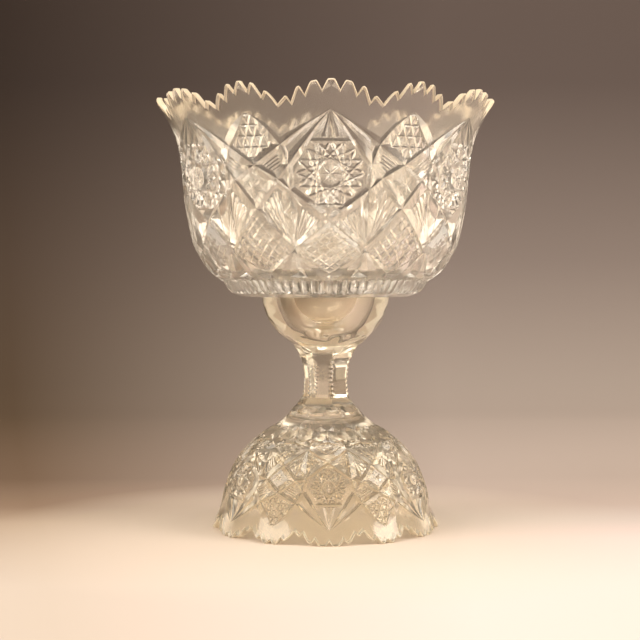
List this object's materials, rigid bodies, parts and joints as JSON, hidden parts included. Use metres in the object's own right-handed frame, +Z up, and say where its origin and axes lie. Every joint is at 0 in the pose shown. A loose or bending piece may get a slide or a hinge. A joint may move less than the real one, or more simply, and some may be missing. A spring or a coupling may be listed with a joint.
{
  "type": "trifle bowl",
  "caption": "Deep cut-glass trifle bowl with a scalloped, toothed rim, standing on a separate domed and stemmed stand of the same cut glass that it lifts off.",
  "frame": {"origin": "middle of the surface that the foot stands on, on the axis of the bowl and the stand", "axes": "+Z up along the axis of both pieces; -Y points at the middle of a wide scallop and of a hobstar"},
  "size_m": [0.23, 0.23, 0.294],
  "materials": {
    "bowl_glass": "polished clear cut glass",
    "stand_glass": "polished cut glass with a faint straw tint"
  },
  "bodies": {
    "stand": {"stand": "stand_glass"},
    "bowl": {"bowl": "bowl_glass"}
  },
  "joints": [
    {"name": "bowl_lift", "type": "slide", "parent": "stand", "child": "bowl", "axis": [0, 0, 1], "range_m": [0, 0.06]}
  ]
}
